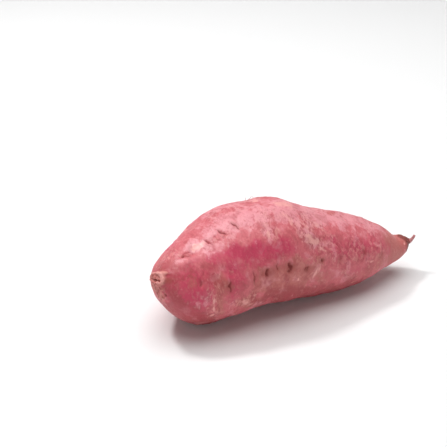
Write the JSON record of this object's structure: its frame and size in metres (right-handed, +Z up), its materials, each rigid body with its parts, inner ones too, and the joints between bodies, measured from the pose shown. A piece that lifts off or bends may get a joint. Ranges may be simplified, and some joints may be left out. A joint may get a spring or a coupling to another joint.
{
  "type": "sweet potato",
  "caption": "Whole sweet potato, a storage root with a blunt stem end, a fat belly and a pointed tail, lying on its side, for food and kitchen scenes.",
  "frame": {"origin": "on the surface it lies on, under the middle of its bounding box", "axes": "+X along the root from the stem scar to the tail, +Z up, so +Y is to its left when seen from the stem end towards the tail"},
  "size_m": [0.1858, 0.0688, 0.0677],
  "materials": {
    "skin": null
  },
  "bodies": {
    "root": {"sweet_potato": "skin"}
  },
  "joints": []
}
